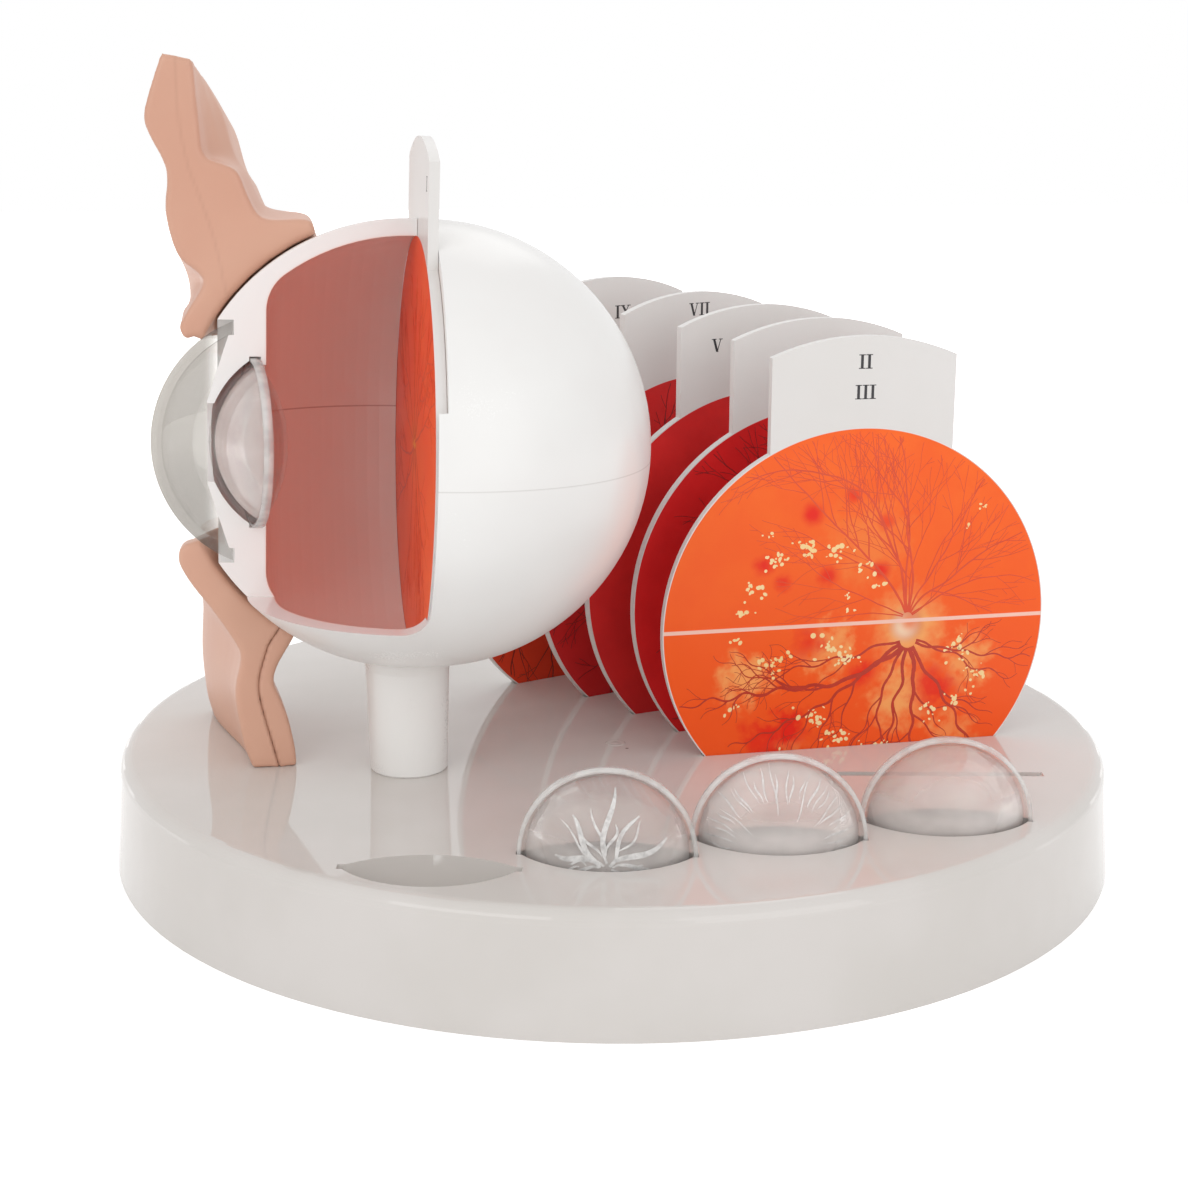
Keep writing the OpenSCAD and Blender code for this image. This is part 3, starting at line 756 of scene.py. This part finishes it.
side = size.outputs["Attribute"]
stretch = joined(dot_tree, side, calc(dot_tree, "MULTIPLY", side, chance(0.45, 1.0, 0)),
                 given["Thickness"])
placed = fill(dot_tree, add(dot_tree, "GeometryNodeInstanceOnPoints"), Points=given["Geometry"],
              Instance=drop.outputs["Mesh"], Scale=stretch,
              Rotation=joined(dot_tree, 0.0, 0.0, chance(0.0, math.tau, 1)))
finish_tree(dot_tree, given, result, placed.outputs[0])
print("tree:", dot_tree.name, "with", len(dot_tree.nodes), "nodes")


# %% Draw in a frame
def run_tree(tree, piece, **values):
    """Run a tree on a piece with its inputs set by identifier, and bake the result."""
    modifier = piece.modifiers.new(tree.name, "NODES")
    modifier.node_group = tree
    for item in tree.interface.items_tree:
        if item.in_out == "INPUT" and item.name in values:
            modifier[item.identifier] = values[item.name]
    piece.data = baked(piece)


def chains_mesh(name, chains):
    """Points (x, y, level, half width) joined in chains, as a mesh with attributes."""
    points, edges = [], []
    for chain in chains:
        edges += [(len(points) + k, len(points) + k + 1) for k in range(len(chain) - 1)]
        points += chain
    mesh = bpy.data.meshes.new(name)
    mesh.from_pydata([p[:3] for p in points], edges, [])
    for label, index in (("level", 2), ("half_width", 3)):
        layer = mesh.attributes.new(label, "FLOAT", "POINT")
        layer.data.foreach_set("value", [p[index] for p in points])
    return mesh


def draw(name, tree, chains, place, body, slot, material, bend=None, **values):
    """Draw chains or dots with a tree in a frame, and let the piece ride on a body."""
    piece = new_piece(name, chains_mesh(name, chains))
    run_tree(tree, piece, Material=material, **values)
    if bend:
        for vertex in piece.data.vertices:
            vertex.co.z += bend(math.hypot(vertex.co.x, vertex.co.y))
    piece.data.transform(place @ Matrix.Scale(MM, 4))
    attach(piece, body)
    print(name, len(piece.data.polygons), "faces")


# %% [markdown]
# Vessels on the cards
# On a real fundus the vessels leave the optic disc, sweep round the macula in wide arcs and
# fork again and again. The same habit is written as a small growth rule with a fixed seed:
# walk forward, turn a little, sometimes sprout a thinner branch. Diseased vessels in the lower
# half of the first card are thicker and twist more.

# %% Growth rule
STEP = 0.8
VESSEL_REACH = 56.2
THINNEST = 0.07
MOST_FORKS = 3
PRINT_TOP = CARD_HALF + 0.004


def grow(rng, chains, start, heading, length, width, bend, twist, room, generation=0):
    """Grow one vessel and its branches as chains of points on a card, in millimetres."""
    x, y = start
    steps = int(length / STEP)
    phase = rng.uniform(0, math.tau)
    pace = rng.uniform(0.35, 0.6)
    sprout = rng.uniform(0.12, 0.35) * length
    level = PRINT_TOP + rng.uniform(0, 0.012)
    chain = []
    for step in range(steps):
        if not room(x, y):
            break
        along = step / steps
        bead = 1 + 0.22 * twist * math.sin(2.3 * step)
        half = max(width * (1 - 0.8 * along) * bead, THINNEST)
        chain.append((x, y, level, half))
        heading += bend * STEP * (1 - along) + rng.gauss(0, 0.05)
        heading += twist * math.sin(phase + pace * step) * (0.15 + 0.55 * along)
        x += STEP * math.cos(heading)
        y += STEP * math.sin(heading)
        if generation < MOST_FORKS and step * STEP > sprout:
            side = rng.choice((-1, 1))
            grow(rng, chains, (x, y), heading + side * rng.uniform(0.35, 0.75),
                 length * (1 - along) * rng.uniform(0.5, 0.85), half * 0.7, -side * 0.008, twist,
                 room, generation + 1)
            sprout = step * STEP + rng.uniform(3.5, 9) * (1 + 0.3 * generation)
    if len(chain) > 3:
        chains.append(chain)


def room_on_disc(low, high):
    """A test for points that lie on the disc between two heights."""
    return lambda x, y: math.hypot(x, y) < VESSEL_REACH and low < y < high


def vessel_ink(name, dark, light):
    """Printed vessel colour, a little uneven along each vessel."""
    ink = Finish(name, light, dark, 0.34, bump=0.01)
    cloudy = noise(ink.tree, ink.object_place, 130.0, 2.0)
    ink.set("Base Color", tint(ink.tree, cloudy, paint(*dark), paint(*light)))
    return ink.material


# %% Vessels of the first card
# heading in degrees, length, half width, bend per millimetre
UPPER_TRUNKS = [(104, 92, 0.8, 0.026), (112, 84, 0.7, 0.017), (96, 62, 0.65, 0.004),
                (84, 66, 0.7, 0.004), (72, 56, 0.55, -0.014), (58, 60, 0.6, -0.022),
                (40, 50, 0.5, -0.016), (150, 56, 0.4, -0.004), (166, 40, 0.35, -0.008),
                (24, 40, 0.35, 0.008), (90, 50, 0.4, -0.012)]
LOWER_TRUNKS = [(-132, 74, 1.5, -0.016), (-150, 62, 1.2, -0.012), (-78, 46, 1.4, -0.006),
                (-58, 52, 1.1, 0.006), (-100, 46, 1.1, -0.01), (-24, 44, 0.8, 0.006),
                (-8, 38, 0.7, -0.004), (-168, 58, 0.8, 0.004), (-118, 56, 0.9, 0.012)]


def trunk_chains(rng, disc, trunks, twist, room, reach=1.5):
    """All vessels that leave one optic disc."""
    chains = []
    for degrees, length, width, bend in trunks:
        heading = math.radians(degrees)
        start = (disc[0] + reach * math.cos(heading), disc[1] + reach * math.sin(heading))
        grow(rng, chains, start, heading, length, width / 2, bend, twist, room)
    return chains


rng = random.Random(41)
smooth_ink = vessel_ink("vessel_ink_fine", (208, 54, 24), (240, 86, 36))
thick_ink = vessel_ink("vessel_ink_swollen", (172, 38, 20), (206, 60, 30))
upper = trunk_chains(rng, (15.5, 1.6), UPPER_TRUNKS, 0.05, room_on_disc(1.5, 60))
lower = trunk_chains(rng, (16, -5), LOWER_TRUNKS, 0.42, room_on_disc(-60, -0.3), 2.5)
draw("card_1_vessels_fine", line_tree, upper, frames["card_1"], "card_1", "card_orange",
     smooth_ink, Thickness=0.02)
draw("card_1_vessels_swollen", line_tree, lower, frames["card_1"], "card_1", "card_orange",
     thick_ink, Thickness=0.02)

# %% [markdown]
# Fatty deposits
# Cream dots gather in loose clusters round the centre of the retina. Every cluster is a cloud
# of points, and a tree stamps a small uneven dot on each one. Stamped dots stay crisp in any
# view, where a painted pattern would blur.

# %% Deposits on the first card
deposit = Finish("deposit_ink", (255, 232, 178), (252, 214, 146), 0.36, bump=0.01)
CLUSTERS = [(-24, 20, 3.4, 16), (-30, 12, 3, 14), (-34, 5, 2.6, 10), (-16, 23, 3.2, 18),
            (-5, 22, 3.4, 16), (2, 17, 2.6, 9), (-27, 27, 1.4, 4), (6, 11, 2, 6), (-3, 9, 1.6, 4),
            (-2, 4, 1.4, 5), (-36, -3, 2, 5), (-24, -9, 4.2, 22), (-8, -6, 4.6, 20),
            (-2, -10, 3.4, 14), (31, -9, 4, 20), (37, -17, 3.6, 14), (22, -27, 3.6, 12),
            (-12, -27, 4.2, 18), (-4, -33, 4, 18), (8, -36, 3.4, 12), (30, -24, 3, 8),
            (-36, -22, 2.4, 6), (-22, -38, 2.6, 8), (36, 33, 1.6, 5), (33, 28, 1.2, 3)]
rng = random.Random(7)
dots = []
for x, y, reach, count in CLUSTERS:
    for _ in range(count):
        px, py = rng.gauss(x, reach * 0.6), rng.gauss(y, reach * 0.45)
        if abs(py) > 1.6:
            dots.append([(px, py, PRINT_TOP + rng.uniform(0.014, 0.03),
                          rng.uniform(0.18, 0.62) * reach ** 0.3)])
draw("card_1_deposits", dot_tree, dots, frames["card_1"], "card_1", "card_orange",
     deposit.material, Thickness=0.02, Seed=3)

# %% Vessels of the other cards
# node: disc, seed, twist, dark colour, light colour, slot
OTHER_CARDS = {
    "card_2": ((12, 2), 5, 0.10, (112, 16, 22), (134, 22, 26), "card_red"),
    "card_3": ((14, 3), 9, 0.10, (108, 16, 22), (130, 22, 26), "card_red"),
    "card_4": ((-12, 2), 14, 0.10, (108, 16, 22), (130, 22, 26), "card_red"),
    "card_5": ((-13, 2), 22, 0.14, (104, 24, 20), (128, 36, 24), "card_brown"),
    "eye_card": ((2, 2), 31, 0.08, (214, 60, 30), (230, 74, 36), "card_orange")}
for node, (disc, seed, twist, dark, light, slot) in OTHER_CARDS.items():
    rng = random.Random(seed)
    side = 1 if disc[0] > 0 else -1
    trunks = []
    for degrees in (75, 105, 50, 130, 20, 160, -75, -105, -48, -132, -20, -160):
        away = rng.uniform(-10, 10)
        trunks.append((degrees + away, rng.uniform(48, 78), rng.uniform(0.55, 0.95),
                       side * math.copysign(0.009, math.sin(math.radians(degrees)))))
    chains = trunk_chains(rng, disc, trunks, twist, room_on_disc(-60, 60))
    draw(node + "_vessels", line_tree, chains, frames[node], node, slot,
         vessel_ink(node + "_ink", dark, light), Thickness=0.02)

# %% [markdown]
# Roman numerals
# Small roman numerals on the tabs tell the cards apart. Each letter is a few bars: thick and
# thin strokes with short cross bars at their ends. They are drawn as flat slabs a hair above
# the tab.

# %% Numerals
ink = Finish("numeral_ink", (58, 55, 58), (44, 42, 46), 0.5, bump=0.02)


def bar_points(x0, y0, x1, y1, half):
    """Four corners of a stroke that is level at both of its ends."""
    return [(x0 - half, y0), (x0 + half, y0), (x1 + half, y1), (x1 - half, y1)]


THICK, THIN, SERIF = 0.1, 0.035, 0.03
LETTERS = {
    "I": (0.52, [bar_points(0.26, 0, 0.26, 1, THICK), bar_points(0.26, 0, 0.26, 2 * SERIF, 0.24),
                 bar_points(0.26, 1 - 2 * SERIF, 0.26, 1, 0.24)]),
    "V": (0.98, [bar_points(0.5, 0, 0.2, 1, THICK), bar_points(0.5, 0, 0.8, 1, THIN),
                 bar_points(0.21, 1 - 2 * SERIF, 0.21, 1, 0.21),
                 bar_points(0.79, 1 - 2 * SERIF, 0.79, 1, 0.16)]),
    "X": (0.98, [bar_points(0.8, 0, 0.2, 1, THICK), bar_points(0.2, 0, 0.78, 1, THIN),
                 bar_points(0.2, 0, 0.2, 2 * SERIF, 0.16),
                 bar_points(0.79, 0, 0.79, 2 * SERIF, 0.2),
                 bar_points(0.21, 1 - 2 * SERIF, 0.21, 1, 0.2),
                 bar_points(0.79, 1 - 2 * SERIF, 0.79, 1, 0.16)])}


# Corners 0 to 3 lie low and 4 to 7 high
BAR_FACES = ((3, 2, 1, 0), (4, 5, 6, 7), (0, 1, 5, 4), (1, 2, 6, 5), (2, 3, 7, 6), (3, 0, 4, 7))
BAR_LIFTS = (CARD_HALF + 0.002, CARD_HALF + 0.03)


def numerals(node, words):
    """Words as (numeral, middle across, middle up, height) on one card's tab."""
    points, faces = [], []
    for word, x, y, height in words:
        start = -sum(LETTERS[letter][0] for letter in word) / 2
        for letter in word:
            advance, bars = LETTERS[letter]
            for bar in bars:
                faces += [[len(points) + corner for corner in face] for face in BAR_FACES]
                points += [(x + (start + px) * height, y + (py - 0.5) * height, z)
                           for z in BAR_LIFTS for px, py in bar]
            start += advance
    mesh = bpy.data.meshes.new(node + "_numerals")
    mesh.from_pydata(points, [], faces)
    mesh.materials.append(ink.material)
    mesh.transform(frames[node] @ Matrix.Scale(MM, 4))
    piece = new_piece(node + "_numerals", mesh)
    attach(piece, node)


numerals("card_1", [("II", 0.1, 75.7, 4.0), ("III", 0.35, 67.2, 4.0)])
numerals("card_2", [("IV", 0, 72.5, 4.0)])
numerals("card_3", [("V", -14.8, 71.4, 3.9)])
numerals("card_4", [("VII", 0.9, 77.5, 3.9)])
numerals("card_5", [("IX", 3.8, 71.8, 4.1)])
numerals("eye_card", [("I", 21.7, 71.5, 3.8)])
print("letters made:", sorted(LETTERS))

# %% [markdown]
# Clouded lenses
# Two of the loose lenses show spokes of cataract. One has a few broad wavy ones that start
# near the middle, and the other has many fine ones that come in from the rim. They lie on the
# inner side of the front dome: drawn flat with the line tree and then bent onto the dome.

# %% Milk finish and dome
DOME_RADIUS = 24.9
DOME_CENTRE = -14.207
DOME_REACH = 22.0
SPOKE_STEPS = 26
milk = Finish("milk_streaks", (254, 253, 252), (246, 245, 244), 0.5, 2500.0, 0.1)
milk.set("Alpha", spread(milk.tree, noise(milk.tree, milk.object_place, 420.0, 3.0),
                         0.25, 0.7, 0.35, 0.85))


def dome(radius):
    """Height of the front dome's inner side above the lens's middle plane."""
    return DOME_CENTRE + math.sqrt(DOME_RADIUS ** 2 - min(radius, DOME_REACH) ** 2)


def spokes(rng, count, inner, outer, width, wave):
    """Wavy radial lines between two radii."""
    chains = []
    for k in range(count):
        angle = math.tau * (k + rng.uniform(-0.35, 0.35)) / count
        start, end = rng.uniform(*inner), rng.uniform(*outer)
        phase = rng.uniform(0, math.tau)
        half = rng.uniform(0.6, 1.0) * width
        chain = []
        for step in range(SPOKE_STEPS + 1):
            along = step / SPOKE_STEPS
            radius = start + (end - start) * along
            bent = angle + wave * math.sin(phase + 5 * along) / max(radius, 3)
            swell = math.sin(math.pi * min(max(along, 0.06), 0.96)) ** 0.5
            chain.append((radius * math.cos(bent), radius * math.sin(bent),
                          rng.uniform(-0.02, 0.02) - 0.15, half * swell))
        chains.append(chain)
    return chains


rng = random.Random(12)
broad = spokes(rng, 11, (0.6, 2), (12, 18.5), 0.85, 1.2)
broad += spokes(rng, 15, (2, 7), (8, 16), 0.4, 0.9)
fine = spokes(rng, 54, (8.5, 14), (17.5, 20.4), 0.26, 0.35)
draw("lens_1_streaks", line_tree, broad, frames["lens_1"], "lens_1", "clear_plastic",
     milk.material, dome, Thickness=0.08)
draw("lens_2_streaks", line_tree, fine, frames["lens_2"], "lens_2", "clear_plastic",
     milk.material, dome, Thickness=0.08)

# %% [markdown]
# Lens rims
# The two domes of a lens are glued at a flat rim, and its polished edge catches the light as a
# bright double line. A very thin pale L-shaped band lies on the flange and round its edge: it is
# a painted highlight that stands in for that line. Like every round piece here, it is turned from
# a short profile with the Screw modifier.

# %% Turned pieces
def turned(name, profile, place, material, steps=96):
    """A piece turned round a frame's Z axis from (radius, height) points; a band is closed."""
    mesh = bpy.data.meshes.new(name)
    edges = [(k, k + 1) for k in range(len(profile) - 1)]
    if profile[0][0] > 0:
        edges.append((len(profile) - 1, 0))
    mesh.from_pydata([(x, 0, z) for x, z in profile], edges, [])
    piece = new_piece(name, mesh)
    screw = piece.modifiers.new("turn", "SCREW")
    screw.steps = screw.render_steps = steps
    screw.use_merge_vertices = True
    screw.merge_threshold = 0.001
    piece.data = baked(piece)
    with opened(piece.data) as work:
        bmesh.ops.remove_doubles(work, verts=work.verts, dist=0.001)
        bmesh.ops.recalc_face_normals(work, faces=work.faces)
    piece.data.transform(place @ Matrix.Scale(MM, 4))
    piece.data.materials.append(material)
    print(name, len(piece.data.polygons), "faces")
    return piece


# %% Rim bands
RIM_PROFILE = [(21.5, 1.21), (22.5, 1.21), (22.51, -1.15), (22.57, -1.15), (22.57, 1.27),
               (21.5, 1.27)]
# The band's near-white colour is a painted highlight on the glued rim
gleam = Finish("rim_gleam", (252, 251, 249), (238, 235, 232), 0.15, bump=0.02)
gleam.set("Alpha", spread(gleam.tree, noise(gleam.tree, gleam.object_place, 160.0, 2.0),
                          0.3, 0.7, 0.3, 0.6))
for lens in ["eye_lens", *LENS_PLACES]:
    band = turned(lens + "_rim_band", RIM_PROFILE, frames[lens], gleam.material)
    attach(band, lens)

# %% [markdown]
# Haze and painted light
# The plastic of the lenses is a little milky all over. The second lens is cloudier toward its
# rim and the third toward its middle. Near the deck the loose lenses get a pale veil that is
# painted light: it covers the shade inside their wells. In the eye's lens the film is painted
# light all over, a pale veil for the white walls that the lens mirrors. A thin film under the
# front dome holds the haze and the painted light.

# %% Haze and painted light films
HAZE_EVERYWHERE = 0.2
FILM_RADIUS = 20.4
FILM_RINGS = 12
FILM_FACES = (0.35, 0.43)


def haze_and_painted_light_film(lens, near, far, strength, foot=0.0):
    """A thin film under the front dome: haze from a near to a far radius, and painted light at the
    foot.
    """
    haze_and_painted_light = Finish(lens + "_haze", (252, 246, 243), (242, 234, 230), 0.55, bump=0.02)
    place = own_place(haze_and_painted_light.tree, frames[lens].translation, frames[lens].to_euler())
    axes = split(haze_and_painted_light.tree, place)
    radius = measure(haze_and_painted_light.tree, "LENGTH", joined(haze_and_painted_light.tree, axes["X"], axes["Y"]))
    cloud = spread(haze_and_painted_light.tree, noise(haze_and_painted_light.tree, place, 0.12, 2.0), 0.2, 0.75, 0.8, 1.0)
    mask = spread(haze_and_painted_light.tree, radius, near, far, HAZE_EVERYWHERE, strength)
    # The foot strength is painted light: a pale veil near the deck over the shade inside the well
    mask = calc(haze_and_painted_light.tree, "MAXIMUM", mask, spread(haze_and_painted_light.tree, axes["Y"], 14.0, 0.0, 0.0, foot))
    haze_and_painted_light.set("Alpha", calc(haze_and_painted_light.tree, "MULTIPLY", cloud, mask))
    radii = [FILM_RADIUS * ring / FILM_RINGS for ring in range(FILM_RINGS + 1)]
    upper, lower = [[(r, dome(r) - drop) for r in radii] for drop in FILM_FACES]
    piece = turned(lens + "_haze_and_painted_light_film", upper + lower[::-1], frames[lens], haze_and_painted_light.material, 48)
    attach(piece, lens)


haze_and_painted_light_film("lens_1", 30, 40, 0.2, 0.5)
haze_and_painted_light_film("lens_2", 9, 20, 0.5, 0.7)
haze_and_painted_light_film("lens_3", 19, 2, 0.55, 0.7)
# In the eye's lens the whole film is painted light: a pale veil for the white walls it mirrors
haze_and_painted_light_film("eye_lens", -10, 0, 0.5)

# %% [markdown]
# Mould mark
# A round scar shows where the plastic entered the mould. It is a shallow dome with a low ring,
# so it mirrors the room like the real one.

# %% Mould mark
MARK_PLACE = Vector((-2.2, -17.1, DECK))
MARK_PROFILE = [(0, 0.16), (0.5, 0.15), (0.9, 0.05), (1.9, 0.03), (2.4, 0.11), (2.7, 0.1),
                (2.95, 0.0), (0, 0)]
mark = turned("mould_mark", MARK_PROFILE, Matrix.Translation(MARK_PLACE * MM), stand.material,
              40)
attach(mark, "stand")

# %% [markdown]
# Light and floor
# A product photograph on white uses large soft lights, so shadows stay faint and reflections
# stay broad. Area lamps do that here. The floor and the world look white to the camera, to
# mirrors and to clear plastic through a Light Path node, while the light on the object stays at
# a plain level. Near the object the floor is only a little brighter than its own colour, which
# keeps the shadow.

# %% Lamps and world
def area_lamp(name, place, target, size, power):
    """A square soft lamp that shines from place toward target."""
    data = bpy.data.lights.new(name, "AREA")
    data.shape = "SQUARE"
    data.size = size
    data.energy = power
    lamp = bpy.data.objects.new(name, data)
    lamp.location = place
    lamp.rotation_euler = (Vector(target) - Vector(place)).to_track_quat("-Z", "Y").to_euler()
    bpy.context.collection.objects.link(lamp)


MIDDLE = (0, 0, 0.1)
area_lamp("key_lamp", (-0.95, -1.05, 0.85), MIDDLE, 0.9, 3.8)
area_lamp("fill_lamp", (0.6, -1.3, 0.5), MIDDLE, 1.0, 2.6)
area_lamp("back_lamp", (0.2, 1.1, 1.2), MIDDLE, 1.0, 2.4)


def white_rays(tree):
    """1 for rays from the camera, from mirrors and through clear plastic, otherwise 0."""
    path = add(tree, "ShaderNodeLightPath").outputs
    seen = calc(tree, "MAXIMUM", path["Is Camera Ray"], path["Is Glossy Ray"])
    return calc(tree, "MAXIMUM", seen, path["Is Transmission Ray"])


WORLD_LEVEL = 0.77
world = bpy.data.worlds.new("studio")
world.use_nodes = True
bpy.context.scene.world = world
background = world.node_tree.nodes["Background"]
level = calc(world.node_tree, "MULTIPLY_ADD", white_rays(world.node_tree), 1 - WORLD_LEVEL,
             WORLD_LEVEL)
fill(world.node_tree, background, Color=(1, 1, 1, 1), Strength=level)
bpy.context.scene.view_settings.view_transform = "Standard"

# %% Floor
bpy.ops.mesh.primitive_plane_add(size=6, location=(0, 0, 0))
floor = bpy.context.object
floor.name = "floor"
paper = bpy.data.materials.new("floor_paper")
paper.use_nodes = True
tree = paper.node_tree
shader = tree.nodes["Principled BSDF"]
glow = spread(tree, measure(tree, "LENGTH", object_place(tree)), 0.2, 1.0, 0.4, 1.0)
fill(tree, shader, Base_Color=(0.9, 0.9, 0.9, 1), Roughness=0.9, Specular_IOR_Level=0.0,
     Emission_Color=(1, 1, 1, 1), Emission_Strength=calc(tree, "MULTIPLY", glow, white_rays(tree)))
floor.data.materials.append(paper)
print("floor and", len(bpy.data.lights), "lamps")
